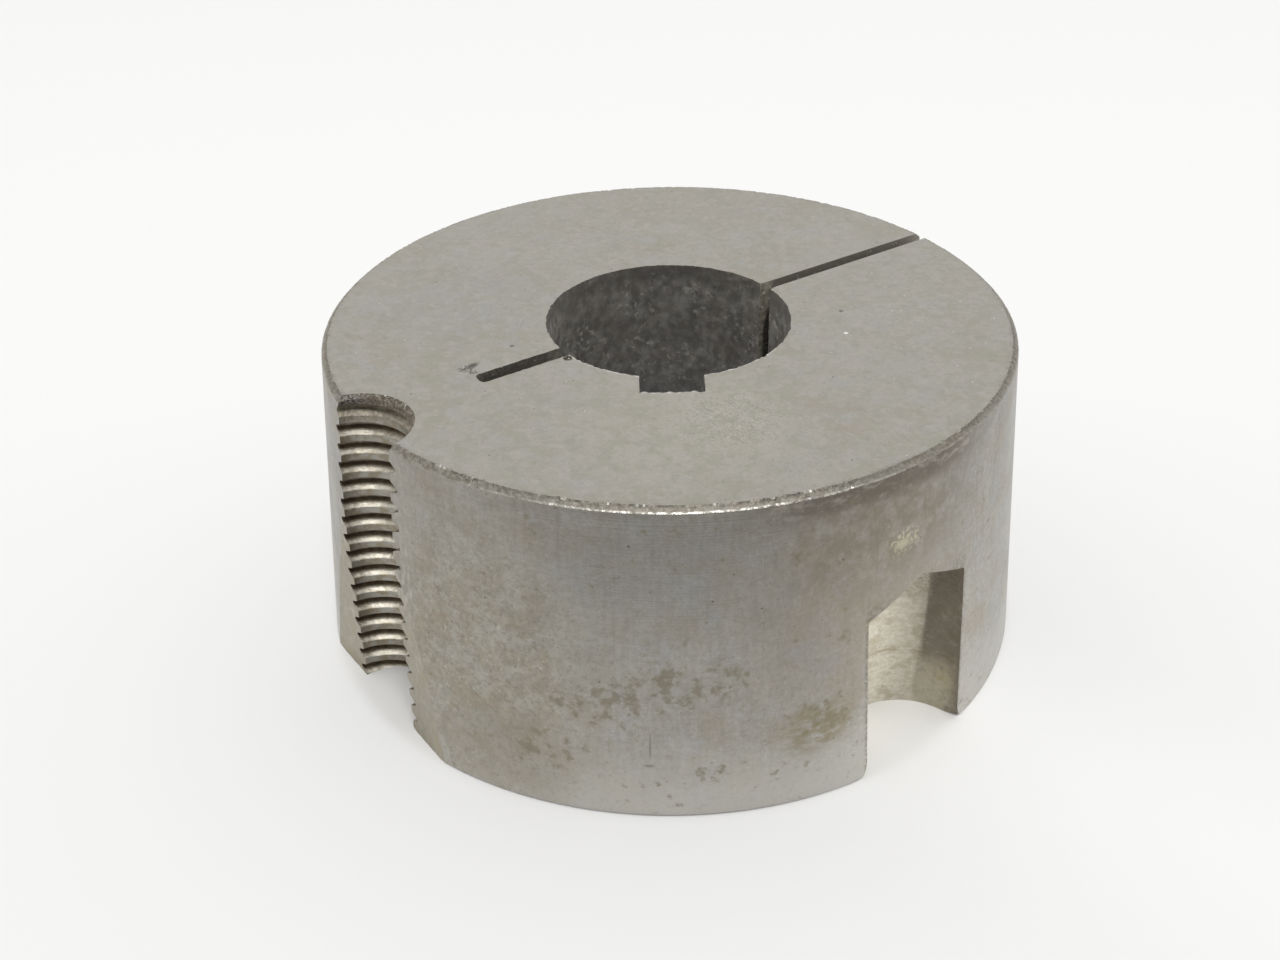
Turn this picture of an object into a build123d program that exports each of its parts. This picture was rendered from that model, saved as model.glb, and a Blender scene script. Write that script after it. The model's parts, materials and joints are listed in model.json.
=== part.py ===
from build123d import *

import os
from math import radians, tan

os.makedirs("parts", exist_ok=True)

# A split taper bush, made from one piece of cast iron. Screws in the two plain half-holes pull it into
# a tapered hub, the full split lets it close on its shaft, and a screw in the threaded half-hole pushes
# it out again. The large end lies on Z = 0, +Z runs up the bore to the small end, and the keyway faces
# -Y. Angles about the bore are in degrees from +X, anticlockwise seen from the small end.

# Turned body
length = 1 * IN
large_end_radius = 2.25 * IN / 2
taper_per_side = 4.0
small_end_radius = large_end_radius - length * tan(radians(taper_per_side))
small_end_chamfer = 0.4
large_end_chamfer = 0.2

# Bore, and its keyway measured from the bore's wall at mid width
bore_radius = 0.75 * IN / 2
keyway_width = 3 / 16 * IN
keyway_depth = 0.087 * IN
keyway_mouth_fillet = 0.3

# Full split, and the relief slot in line with it on the other side of the bore
split_angle = 33.5
split_width = 1.1
relief_angle = split_angle + 180
relief_width = 1.35
relief_depth = 7.2
relief_end_fillet = 0.4

# Plain half-holes: blind drillings whose axes lie just inside the edge of the large end
screw_hole_angles = (309.0, 129.0)
screw_hole_inset = 1.2
screw_hole_radius = 5.0
screw_hole_depth = 13.9
drill_point_angle = 135.0
drill_point_height = screw_hole_radius / tan(radians(drill_point_angle / 2))

# Threaded half-hole: tapped from end to end, with a flat outside it down to its own axis
jack_angle = 214.5
jack_inset = 1.4
jack_mouth_chamfer = 0.3
thread_major_radius = 3 / 8 * IN / 2
thread_pitch = IN / 16
thread_angle = 55.0
thread_depth = thread_pitch / 2
thread_root_width = thread_pitch / 6
tap_drill_radius = thread_major_radius - thread_depth

# The thread's groove is cut with a tool that starts this far inside the drilled wall
groove_overlap = thread_pitch / 6
groove_reach = thread_depth + groove_overlap
groove_mouth_width = thread_root_width + 2 * groove_reach * tan(radians(thread_angle / 2))


def screw_plane(angle, inset):
    """An upright plane along the radius at an angle, with its origin on that screw hole's axis."""
    outward = Vector(1, 0, 0).rotate(Axis.Z, angle)
    sideways = outward.rotate(Axis.Z, -90)
    return Plane(origin=outward * (large_end_radius - inset), x_dir=outward, z_dir=sideways)


with BuildPart() as taper_bush:
    # Body: the half section of the taper, turned about the bore
    with BuildSketch(Plane.XZ):
        with BuildLine():
            Polyline((0, 0), (large_end_radius, 0), (small_end_radius, length), (0, length), close=True)
        make_face()
    revolve(axis=Axis.Z)
    rims = taper_bush.edges().filter_by(GeomType.CIRCLE).sort_by(Axis.Z)
    chamfer(rims[-1], small_end_chamfer)
    chamfer(rims[0], large_end_chamfer)

    # Bore, keyway, split and relief slot: one section, the same from end to end
    with BuildSketch(Plane.XY) as through_section:
        Circle(bore_radius)
        Rectangle(keyway_width, bore_radius + keyway_depth, align=(Align.CENTER, Align.MAX))
        keyway_mouth = through_section.vertices().group_by(Axis.Y)[1]
        fillet(keyway_mouth, keyway_mouth_fillet)
        Rectangle(large_end_radius, split_width, split_angle, align=(Align.MIN, Align.CENTER))
        RectangleRounded(
            bore_radius + relief_depth,
            relief_width,
            relief_end_fillet,
            relief_angle,
            align=(Align.MIN, Align.CENTER),
        )
    extrude(amount=length, mode=Mode.SUBTRACT)

    # Plain half-holes: the drill's half section, turned about each screw's axis
    for angle in screw_hole_angles:
        drill_plane = screw_plane(angle, screw_hole_inset)
        with BuildSketch(drill_plane):
            with BuildLine():
                Polyline(
                    (0, 0),
                    (screw_hole_radius, 0),
                    (screw_hole_radius, screw_hole_depth),
                    (0, screw_hole_depth + drill_point_height),
                    close=True,
                )
            make_face()
        revolve(axis=Axis(drill_plane.origin, (0, 0, 1)), mode=Mode.SUBTRACT)

    # Threaded half-hole: the tapping drill goes right through and is countersunk at the small end
    jack_plane = screw_plane(jack_angle, jack_inset)
    with BuildSketch(jack_plane):
        with BuildLine():
            Polyline(
                (0, 0),
                (tap_drill_radius, 0),
                (tap_drill_radius, length - jack_mouth_chamfer),
                (tap_drill_radius + jack_mouth_chamfer, length),
                (0, length),
                close=True,
            )
        make_face()
    revolve(axis=Axis(jack_plane.origin, (0, 0, 1)), mode=Mode.SUBTRACT)

    # Flat: square to the radius, and level with the axis of the threaded hole
    with BuildSketch(Plane.XY):
        with PolarLocations(large_end_radius - jack_inset, 1, jack_angle):
            Rectangle(large_end_radius, 2 * large_end_radius, align=(Align.MIN, Align.CENTER))
    extrude(amount=length, mode=Mode.SUBTRACT)

    # Thread: the groove's section, swept up a helix that runs a pitch past each end
    with BuildLine():
        thread_helix = Helix(
            thread_pitch,
            length + 2 * thread_pitch,
            thread_major_radius,
            center=jack_plane.origin - (0, 0, thread_pitch),
        )
    with BuildSketch(Plane(thread_helix @ 0, x_dir=(1, 0, 0), z_dir=thread_helix % 0)):
        with BuildLine():
            Polyline(
                (0, -thread_root_width / 2),
                (0, thread_root_width / 2),
                (-groove_reach, groove_mouth_width / 2),
                (-groove_reach, -groove_mouth_width / 2),
                close=True,
            )
        make_face()
    sweep(path=thread_helix, is_frenet=True, mode=Mode.SUBTRACT)

taper_bush.part.label = "taper_bush"
export_step(taper_bush.part, "parts/taper_bush.step")
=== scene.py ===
# %% [markdown]
# # A split taper bush in Blender
# A taper bush holds a pulley on a shaft. It is one iron casting, machined all over: a ring with a tapered
# outside, a keyed bore, a full split so that it can close on its shaft, a relief slot opposite the split,
# and half-holes round its edge whose other halves are in the hub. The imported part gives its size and
# place. Everything below is modelled in millimetres and turned into metres when the bush is finished.

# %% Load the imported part
import json
from math import acos, asin, atan2, ceil, cos, log2, pi, radians, sin, sqrt, tan, tau

import bmesh
import bpy
from mathutils import Matrix, Vector, noise


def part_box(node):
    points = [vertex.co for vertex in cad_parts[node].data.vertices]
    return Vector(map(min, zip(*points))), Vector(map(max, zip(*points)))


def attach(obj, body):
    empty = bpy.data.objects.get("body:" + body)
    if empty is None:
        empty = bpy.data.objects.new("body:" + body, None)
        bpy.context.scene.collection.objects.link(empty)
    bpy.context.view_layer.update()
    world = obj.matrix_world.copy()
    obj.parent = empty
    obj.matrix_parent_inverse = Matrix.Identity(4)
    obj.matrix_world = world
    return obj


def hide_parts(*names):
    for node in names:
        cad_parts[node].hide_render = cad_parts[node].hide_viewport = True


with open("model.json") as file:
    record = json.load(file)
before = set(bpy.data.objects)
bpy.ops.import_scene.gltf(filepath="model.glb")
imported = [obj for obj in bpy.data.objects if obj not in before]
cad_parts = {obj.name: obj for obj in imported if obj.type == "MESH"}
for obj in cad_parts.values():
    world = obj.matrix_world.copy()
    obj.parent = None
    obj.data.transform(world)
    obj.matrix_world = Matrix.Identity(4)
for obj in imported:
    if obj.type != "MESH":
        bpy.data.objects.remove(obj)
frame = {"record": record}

MM = 0.001
noise.seed_set(1)        # the same random moves in every run
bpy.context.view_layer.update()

# %% [markdown]
# ## Sizes
# The length, the large end's radius, the bore and the places of the half-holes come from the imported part.
# The other sizes are the ones that its maker would read off a drawing, in millimetres and degrees. The
# thread has 16 turns to the inch, and its groove fades out towards its mouth.
# Angles about the bore are from +X, anticlockwise seen from the small end, which is the one on top.

# %% Sizes of the turned body
low_corner, high_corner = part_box("taper_bush")
mounts = {mount["name"]: mount for mount in frame["record"]["mounts"]}
taper = radians(4)
large_end_chamfer = 0.2
small_end_chamfer = 0.4
length = (high_corner.z - low_corner.z) / MM
large_end_radius = (high_corner.x - low_corner.x) / 2 / MM + large_end_chamfer * sin(taper)
small_end_radius = large_end_radius - length * tan(taper)
bore_radius = mounts["bore"]["dims"]["r_mm"]
print(f"length {length:.2f}, bore radius {bore_radius:.3f} mm")
print(f"outside radius {large_end_radius:.3f} to {small_end_radius:.3f} mm")


def taper_radius(height):
    """The radius of the taper at a height above the large end."""
    return large_end_radius - height * tan(taper)


def axis_of(mount):
    """Where a half-hole's axis meets the large end, in millimetres."""
    return Vector(mounts[mount]["pos_m"]) / MM


def outward(angle):
    """The direction straight out from the bore at an angle."""
    return Vector((cos(angle), sin(angle), 0))


# The two edges of each chamfer, as a radius and a height
large_rim = (large_end_radius - large_end_chamfer * sin(taper), large_end_chamfer * cos(taper))
small_rim = (small_end_radius + small_end_chamfer * sin(taper), length - small_end_chamfer * cos(taper))
chamfer_top = (small_end_radius - small_end_chamfer, length)

# %% Sizes of the keyway, the slots and the holes
inch = 25.4
keyway_width = inch * 3 / 16
keyway_depth = 2.21
keyway_mouth_round = 0.3
split_angle = radians(33.5)
split_width = 1.1
relief_angle = split_angle + pi
relief_width = 1.35
relief_depth = 7.45
relief_end_round = 0.4
pit_radius = 0.38
pit_place = outward(radians(219.5)) * (bore_radius + 0.45) + Vector((0, 0, length))
drill_radius = 5.0
drill_depth = 13.9
drill_point_angle = radians(135)
thread_radius = inch * 3 / 16
thread_pitch = inch / 16
thread_angle = radians(55)
thread_depth = thread_pitch / 2
thread_root = thread_pitch / 8
thread_mouth_chamfer = 0.3
groove_fade_start = length - 2.2
groove_fade = 0.95
jack_axis = axis_of("jack_half_hole")
jack_angle = atan2(jack_axis.y, jack_axis.x)
tap_drill_radius = thread_radius - thread_depth
print(f"thread: {length / thread_pitch:.0f} turns on a {2 * tap_drill_radius:.2f} mm tapping hole")

# %% [markdown]
# ## Camera
# The bush is small and the camera stands close, so its perspective is strong: the near side of the rim
# looks much wider than the far side. The camera looks along +Y from above, a little rolled. It is placed
# by the point it aims at, its distance and its height angle, which can each be changed by itself.

# %% Place the camera
aim = Vector((-2.443, 0, 10.351)) * MM
camera_distance = 131.874 * MM
camera_height_angle = radians(32.846)
camera_roll = radians(-0.998)
camera_data = bpy.data.cameras.new("camera")
camera_data.sensor_width = 36
camera_data.lens = 44.543
camera_data.clip_start = 0.005
camera = bpy.data.objects.new("camera", camera_data)
bpy.context.scene.collection.objects.link(camera)
bpy.context.scene.camera = camera
back_off = Vector((0, -cos(camera_height_angle), sin(camera_height_angle))) * camera_distance
tilt = Matrix.Rotation(pi / 2 - camera_height_angle, 4, "X") @ Matrix.Rotation(camera_roll, 4, "Z")
camera.matrix_world = Matrix.Translation(aim + back_off) @ tilt
print("camera at", [round(value, 4) for value in camera.matrix_world.translation])

# %% [markdown]
# ## Node helpers
# The world, the paper and every finish are node trees. Built by hand, each node takes several lines. One
# short function that adds a node and sets or links its inputs keeps a tree as readable as a sum. All the
# helpers work on the tree that the name "tree" stands for, so a cell that builds one sets that name first.

# %% Nodes, and colours between two
def add(kind, inputs=None, **settings):
    """Adds a node to the tree; each input is a number, a colour or another node's output."""
    made = tree.nodes.new("ShaderNode" + kind)
    for setting, value in settings.items():
        setattr(made, setting, value)
    for name, value in (inputs or {}).items():
        if isinstance(value, bpy.types.NodeSocket):
            tree.links.new(value, made.inputs[name])
        elif isinstance(value, tuple) and made.inputs[name].type == "RGBA":
            made.inputs[name].default_value = (*value, 1)
        else:
            made.inputs[name].default_value = value
    return made


def blend(share, first, second):
    """A colour between two others, by a share from 0 to 1."""
    return add("Mix", {0: share, 6: first, 7: second}, data_type="RGBA").outputs[2]


def math(operation, first, second):
    """One sum with two numbers."""
    return add("Math", {0: first, 1: second}, operation=operation).outputs[0]


def times(first, *others):
    """The product of several masks or numbers."""
    for other in others:
        first = math("MULTIPLY", first, other)
    return first


def ramp(value, start, end, low=0.0, high=1.0):
    """Goes smoothly from low to high as a value goes from start to end."""
    limits = {"Value": value, "From Min": start, "From Max": end, "To Min": low, "To Max": high}
    return add("MapRange", limits, interpolation_type="SMOOTHSTEP").outputs["Result"]


# %% [markdown]
# ## Light and floor
# Bare iron has little colour of its own: what it shows is the room. Here the room is pale behind the bush
# and dim in front of it, where the viewer stands, so the top face is an even grey and the front of the
# taper is darker. A panel high up in front lights the floor, the rim and the upper flanks of the thread.
# A small low lamp at the right shines a narrow beam into the plain half-hole.

# %% World
scene = bpy.context.scene
scene.view_settings.view_transform = "Standard"
world = bpy.data.worlds.new("studio")
scene.world = world
world.use_nodes = True
front_strength = 0.15
back_strength = 1.0
tree = world.node_tree
direction = add("TexCoord").outputs["Generated"]
towards_back = add("SeparateXYZ", {"Vector": direction}).outputs["Y"]
room_light = ramp(towards_back, -0.9, 0.1, front_strength, back_strength)
backdrop = tree.nodes["Background"]
backdrop.inputs["Color"].default_value = (1, 0.995, 0.985, 1)
tree.links.new(room_light, backdrop.inputs["Strength"])
print("world strength", front_strength, "to", back_strength)


# %% Lamps
def lamp(name, target, angle, height_angle, distance, size, power, spread=180):
    """A square lamp aimed at a target from an angle about it and a height angle, at a distance in mm."""
    light = bpy.data.lights.new(name, "AREA")
    light.size = size * MM
    light.energy = power
    light.spread = radians(spread)
    holder = bpy.data.objects.new(name, light)
    scene.collection.objects.link(holder)
    away = outward(radians(angle)) * cos(radians(height_angle))
    away.z = sin(radians(height_angle))
    holder.location = (target + away * distance) * MM
    holder.rotation_euler = (-away).to_track_quat("-Z", "Y").to_euler()


middle = Vector((0, 0, length / 2))
half_hole_wall = Vector((16.5, -17, 7))
lamp("high_panel", middle, 276, 66, distance=1000, size=240, power=3.4)
lamp("side_lamp", half_hole_wall, 324.5, 6, distance=400, size=16, power=0.0013, spread=3.2)

# %% Floor
bm = bmesh.new()
bmesh.ops.create_grid(bm, x_segments=1, y_segments=1, size=1.5)
floor_mesh = bpy.data.meshes.new("floor")
bm.to_mesh(floor_mesh)
bm.free()
floor = bpy.data.objects.new("floor", floor_mesh)
scene.collection.objects.link(floor)
paper = bpy.data.materials.new("white_paper")
paper.use_nodes = True
tree = paper.node_tree
paper_shader = tree.nodes["Principled BSDF"]
paper_shader.inputs["Base Color"].default_value = (0.88, 0.88, 0.87, 1)
paper_shader.inputs["Roughness"].default_value = 0.9

# The camera sees the paper nearly white, a little greyer in front, with the bush's shadow still on it.
# Metal mirrors it white near the bush, dimmer towards the dark front, and dark under the bush itself.
seen_share = 0.4
mirrored_share = 0.8
foot_shadow = (27.8 * MM, 29.4 * MM)
spot = add("TexCoord").outputs["Object"]
front_to_back = add("SeparateXYZ", {"Vector": spot}).outputs["Y"]
from_middle = add("VectorMath", {0: spot}, operation="LENGTH").outputs["Value"]
seen_light = ramp(front_to_back, -0.06, 0.06, 0.9, 1.0)
mirrored_light = ramp(front_to_back, -0.13, -0.04, 0.15, 1.0)
ray = add("LightPath").outputs
mirrored = math("MAXIMUM", ray["Is Glossy Ray"], ray["Is Transmission Ray"])
strength = add("Mix", {"Factor": mirrored, "A": seen_light, "B": mirrored_light}).outputs["Result"]
glow = add("Emission", {"Strength": strength}).outputs["Emission"]
seen = math("MULTIPLY", ray["Is Camera Ray"], seen_share)
share = math("MAXIMUM", seen, math("MULTIPLY", mirrored, mirrored_share))
share = math("MULTIPLY", share, ramp(from_middle, *foot_shadow))
paper_mix = add("MixShader", {0: share, 1: paper_shader.outputs["BSDF"], 2: glow}).outputs["Shader"]
tree.links.new(paper_mix, tree.nodes["Material Output"].inputs["Surface"])
floor.data.materials.append(paper)

# %% [markdown]
# ## Mesh helpers
# The bush is made as it is in the works: a turned blank, and cutters that take metal away from it. Each
# blank or cutter is a section swept by the spin operator. A turn alone gives a round part, a rise alone
# gives a straight one, and both together give a screw. Small random moves of a cutter's vertices leave
# torn edges and tool marks where it cuts. The random moves are the same in every run.

# %% Section, sweep and cap
smallest_gap = 1e-4


def section(bm, points):
    """A closed loop of vertices and edges through the points."""
    verts = [bm.verts.new(point) for point in points]
    edges = [bm.edges.new((verts[i - 1], verts[i])) for i in range(len(verts))]
    return verts + edges


def sweep(bm, geometry, centre=(0, 0, 0), angle=0.0, rise=0.0, steps=1, copies=1):
    """Sweeps a section about an upright axis, rising as it goes: one stretch, then copies of that stretch.

    A spin of thousands of steps is slow, and copies of a short one give the same mesh quickly.
    """
    axis = {"cent": centre, "axis": (0, 0, 1)}
    full_turn = copies == 1 and rise == 0 and angle == tau
    stretch = {"angle": angle / copies, "dvec": (0, 0, rise / copies / steps), "steps": steps}
    bmesh.ops.spin(bm, geom=geometry, **axis, **stretch, use_merge=full_turn)
    if copies > 1:
        last_angle = angle * (copies - 1) / copies
        again = {"angle": last_angle, "dvec": (0, 0, rise / copies), "steps": copies - 1}
        geometry = bm.verts[:] + bm.edges[:] + bm.faces[:]
        bmesh.ops.spin(bm, geom=geometry, **axis, **again, use_duplicate=True)
    bmesh.ops.remove_doubles(bm, verts=bm.verts, dist=smallest_gap)


def close_up(bm):
    """Caps open ends, merges what meets, and turns every face outwards."""
    bmesh.ops.remove_doubles(bm, verts=bm.verts, dist=smallest_gap)
    bmesh.ops.holes_fill(bm, edges=[edge for edge in bm.edges if edge.is_boundary], sides=0)
    bmesh.ops.recalc_face_normals(bm, faces=bm.faces)


def move(bm, way):
    """Moves the whole bmesh."""
    bmesh.ops.translate(bm, verts=bm.verts, vec=way)


def tear(bm, amount, grain):
    """Moves each vertex a little, by smooth noise whose lumps are about one grain across."""
    for vert in bm.verts:
        vert.co += amount * noise.noise_vector(vert.co / grain)


def face_order(face):
    """A number from the face's vertices, which puts the faces in the same order in every run."""
    numbers = [vert.index for vert in face.verts]
    return min(numbers) * 1e5 + max(numbers) + sum(numbers) * 1e-6


def new_object(name, bm, material):
    """A mesh object from a bmesh, with one material on all of it."""
    bm.verts.index_update()
    bm.faces.sort(key=face_order)
    mesh = bpy.data.meshes.new(name)
    bm.to_mesh(mesh)
    bm.free()
    mesh.materials.append(material)
    made = bpy.data.objects.new(name, mesh)
    scene.collection.objects.link(made)
    return made


# %% [markdown]
# ## One material for each finish
# Each way of cutting leaves its own finish, so each cutter carries its own material, and the cut gives it
# to the faces that it leaves. The nodes of each material are built further down.

# %% Empty materials
finishes = ["small_end_face", "broken_rim", "ground_taper", "large_end_face", "bored_wall"]
finishes += ["broached_keyway", "sawn_slot", "drilled_pocket", "cut_thread", "milled_flat"]
finish = {}
for name in finishes:
    finish[name] = bpy.data.materials.new(name)
    finish[name].use_nodes = True
print("finishes:", ", ".join(finish))

# %% [markdown]
# ## The turned blank
# A half section of the ring is turned through a full circle. The rim at the small end was broken with a
# file or a worn tool: its upper edge is torn, and its lower edge is burnished. So the chamfer has several
# rings, and each ring is pushed into the metal by its own amount of noise. No vertex moves outwards, so
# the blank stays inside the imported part.

# %% Turn the blank
turn_steps = 36
turn_copies = 40
pilot_radius = 6.0

# How far down the chamfer each ring lies, and the depth of its tears in mm
chamfer_tears = ((1, 0.015), (0.9, 0.02), (0.75, 0.03), (0.5, 0.04), (0.3, 0.05), (0.15, 0.06), (0, 0.13))
# Each ring: radius, height, depth of its tears in mm
chamfer_rings = []
for share, torn in chamfer_tears:
    radius = chamfer_top[0] + share * (small_rim[0] - chamfer_top[0])
    height = chamfer_top[1] + share * (small_rim[1] - chamfer_top[1])
    chamfer_rings.append((radius, height, torn))
blank_rings = [
    (pilot_radius, 0, 0),
    (large_end_radius - large_end_chamfer, 0, 0.01),
    (*large_rim, 0.01),
    *[(taper_radius(height), height, 0) for height in (0.45, 0.7, 1.0, 1.4)],
    (taper_radius(length / 3), length / 3, 0),
    (taper_radius(length * 2 / 3), length * 2 / 3, 0),
    (taper_radius(length - 1.2), length - 1.2, 0),
    *chamfer_rings,
    (small_end_radius - 1.0, length, 0),
    (pilot_radius, length, 0),
]

bm = bmesh.new()
half_section = section(bm, [(radius, 0, height) for radius, height, torn in blank_rings])
sweep(bm, half_section, angle=tau, steps=turn_steps, copies=turn_copies)
close_up(bm)
torn_by_place = {(round(radius, 3), round(height, 3)): torn for radius, height, torn in blank_rings}

# The grain of the tears and how far apart the deeply torn stretches lie, in mm
tear_grain = 0.34
tear_stretch = 2.0
least_torn = 0.8
added_in_stretch = 3.52
for vert in bm.verts:
    radius = vert.co.xy.length
    torn = torn_by_place.get((round(radius, 3), round(vert.co.z, 3)), 0)
    if torn:
        up_or_down = -1 if vert.co.z > length / 2 else 1
        into_metal = Vector((-vert.co.x / radius, -vert.co.y / radius, up_or_down))
        stretch = least_torn + added_in_stretch * abs(noise.noise(vert.co / tear_stretch))
        depth = torn * stretch * abs(noise.noise(vert.co / tear_grain))
        if vert.co.z >= length - smallest_gap:
            into_metal.z = 0
        vert.co += into_metal * depth
blank = new_object("taper_bush_visual", bm, finish["ground_taper"])
blank_finishes = ["ground_taper", "small_end_face", "broken_rim", "large_end_face"]
for name in blank_finishes[1:]:
    blank.data.materials.append(finish[name])
for face in blank.data.polygons:
    radius = face.center.xy.length
    if face.center.z > small_rim[1] + 0.01:
        on_rim = radius > chamfer_top[0] - 0.02
        face.material_index = blank_finishes.index("broken_rim" if on_rim else "small_end_face")
    elif face.center.z < large_rim[1] * 0.5:
        face.material_index = blank_finishes.index("large_end_face")
print("blank:", len(blank.data.polygons), "faces")

# %% [markdown]
# ## Bore, keyway and slots
# The bore was bored rough, so its cutter has waves in it. The keyway was broached and the slots were
# sawn: straight prisms, whose walls are divided finely enough to be torn a little along their edges. The
# edges at the small end are ragged, so the moves grow towards that end. The split is worn wider where it
# opens into the bore, and the saw left a small pit beside the relief slot.

# %% Bore cutter
over = 1.0             # how far a cutter stands out of the blank, in mm
ragged_grain = 0.45


def upward(bm, geometry, steps=1):
    """Extrudes a section from below the large end to above the small end."""
    sweep(bm, geometry, rise=length + 2 * over, steps=steps)
    close_up(bm)


bm = bmesh.new()
bore_steps = 288
bore_layers = 56
bore_waves = 0.018
bore_ragged = (0.6, 0.22)     # how far down the ragged edge reaches and how deep it is, in mm
bmesh.ops.create_circle(bm, radius=bore_radius, segments=bore_steps)
move(bm, (0, 0, -over))
upward(bm, bm.verts[:] + bm.edges[:], bore_layers)
for vert in bm.verts:
    lumps = noise.noise(vert.co / 0.9) + 0.5 * noise.noise(vert.co / 0.4)
    at_edge = max(0, 1 - abs(vert.co.z - length) / bore_ragged[0])
    ragged = at_edge * abs(noise.noise(vert.co.xy.to_3d() / ragged_grain))
    vert.co.xy *= 1 + (bore_waves * lumps + bore_ragged[1] * ragged) / bore_radius
bore_cutter = new_object("bore_cutter", bm, finish["bored_wall"])

# %% Keyway cutter
wall_layers = 40
keyway_ragged = (1.2, 0.36)     # as for the bore
bm = bmesh.new()
half_key = keyway_width / 2
round_centre = Vector((half_key + keyway_mouth_round, 0, 0))
round_centre.y = -sqrt((bore_radius + keyway_mouth_round) ** 2 - round_centre.x**2)
round_turn = pi / 2 - asin(round_centre.x / (bore_radius + keyway_mouth_round))
wall_top = bm.verts.new((half_key, round_centre.y, 0))
floor_corner = bm.verts.new((half_key, -bore_radius - keyway_depth, 0))
bm.edges.new((wall_top, floor_corner))
bmesh.ops.spin(bm, geom=[wall_top], cent=round_centre, axis=(0, 0, -1), angle=round_turn, steps=5)
inner_end = min(bm.verts, key=lambda vert: vert.co.xy.length)
inside_bore = bm.verts.new((inner_end.co.x, inner_end.co.y + 1.0, 0))
bm.edges.new((inner_end, inside_bore))
bmesh.ops.mirror(bm, geom=bm.verts[:] + bm.edges[:], axis="X", merge_dist=smallest_gap)
corners = [vert for vert in bm.verts if abs(vert.co.y - floor_corner.co.y) < smallest_gap]
floor_edge = bm.edges.new(corners)
bridge = [vert for vert in bm.verts if abs(vert.co.y - inside_bore.co.y) < smallest_gap]
bm.edges.new(bridge)
bmesh.ops.subdivide_edges(bm, edges=[floor_edge], cuts=31)
walls = [edge for edge in bm.edges if edge.verts[0].co.y != edge.verts[1].co.y]
long_walls = [edge for edge in walls if edge.calc_length() > 1.5]
bmesh.ops.subdivide_edges(bm, edges=long_walls, cuts=9)
move(bm, (0, 0, -over))
upward(bm, bm.verts[:] + bm.edges[:], wall_layers)
tear(bm, amount=0.07, grain=0.45)
for vert in bm.verts:
    at_edge = max(0, 1 - abs(vert.co.z - length) / keyway_ragged[0])
    vert.co.y -= keyway_ragged[1] * at_edge * noise.noise(vert.co.xy.to_3d() / ragged_grain)
keyway_cutter = new_object("keyway_cutter", bm, finish["broached_keyway"])
print("bore and keyway cutters:", len(bore_cutter.data.polygons), len(keyway_cutter.data.polygons), "faces")

# %% Slot cutters
flare_reach = 0.8
steps_along = 60


def slot_cutter(name, end, width, angle, end_round, torn, flare):
    """A straight slot out from the bore with torn edges, wider by a flare where it opens into the bore."""
    start = bore_radius - 1
    bm = bmesh.new()
    bmesh.ops.create_grid(bm, x_segments=1, y_segments=1, size=0.5)
    bmesh.ops.delete(bm, geom=bm.faces[:], context="FACES_ONLY")
    bmesh.ops.scale(bm, verts=bm.verts, vec=(end - start, width, 1))
    move(bm, ((start + end) / 2, 0, -over))
    if end_round:
        end_corners = [vert for vert in bm.verts if abs(vert.co.x - end) < smallest_gap]
        rounding = {"affect": "VERTICES", "segments": 5, "profile": 0.5, "material": -1}
        bmesh.ops.bevel(bm, geom=end_corners, offset=end_round, offset_type="OFFSET", **rounding)
    sides = [edge for edge in bm.edges if edge.calc_length() > 2 * width]
    bmesh.ops.subdivide_edges(bm, edges=sides, cuts=steps_along)
    upward(bm, bm.verts[:] + bm.edges[:], wall_layers)
    for vert in bm.verts:
        at_mouth = max(0, 1 - max(0, vert.co.x - bore_radius) / flare_reach) ** 2
        vert.co.y += flare * at_mouth * (0.5 if vert.co.y > 0 else -1)
    tear(bm, amount=torn, grain=0.3)
    bmesh.ops.rotate(bm, verts=bm.verts, matrix=Matrix.Rotation(angle, 3, "Z"))
    return new_object(name, bm, finish["sawn_slot"])


split_end = large_end_radius + 2
relief_end = bore_radius + relief_depth
split_cutter = slot_cutter("split_cutter", split_end, split_width, split_angle, 0, 0.015, 0.17)
relief = (relief_end, relief_width, relief_angle, relief_end_round, 0.07, 0)
relief_cutter = slot_cutter("relief_cutter", *relief)
print("slot cutters:", len(split_cutter.data.polygons), len(relief_cutter.data.polygons), "faces")

# %% Pit beside the relief slot
bm = bmesh.new()
bmesh.ops.create_icosphere(bm, subdivisions=4, radius=pit_radius)
move(bm, pit_place)
tear(bm, amount=0.12, grain=0.2)
pit_cutter = new_object("pit_cutter", bm, finish["sawn_slot"])
print("pit cutter:", len(pit_cutter.data.polygons), "faces")

# %% [markdown]
# ## Half-holes
# A blind half-hole is the shape of its drill: a wall that shows the drill's tool marks, and the cone that
# its point leaves. The threaded half-hole is a tapping hole first, countersunk at the small end. Then the
# groove is swept up a screw line, with its crests a little broken, as a worn tap leaves them, and it grows
# shallow towards its mouth. The flat beside it is cut by a block, one face of which is a little torn.

# %% Drills
drill_steps = 130
drill_layers = 110
drill_chatter = (0.03, 0.19)     # the depth of the steps in the wall and their height, in mm


def drill_cutter(name, axis, profile, steps, material):
    """A solid turned about an upright axis from a profile of (radius, height) points, listed upwards."""
    bm = bmesh.new()
    points = [(0, 0, profile[0][1]), *[(radius, 0, height) for radius, height in profile]]
    verts = [bm.verts.new(point) for point in points]
    edges = [bm.edges.new(pair) for pair in zip(verts, verts[1:])]
    sweep(bm, verts + edges, angle=tau, steps=steps)
    close_up(bm)
    move(bm, (axis.x, axis.y, 0))
    return new_object(name, bm, material)


def drilled_profile():
    """The drill's outline, with the small steps that its feed leaves in the wall."""
    points = []
    for layer in range(drill_layers + 1):
        height = -over + (drill_depth + over) * layer / drill_layers
        chatter = drill_chatter[0] * noise.noise(Vector((0, 0, height / drill_chatter[1])))
        points.append((drill_radius - abs(chatter), height))
    points.append((0, drill_depth + drill_radius / tan(drill_point_angle / 2)))
    return points


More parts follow.
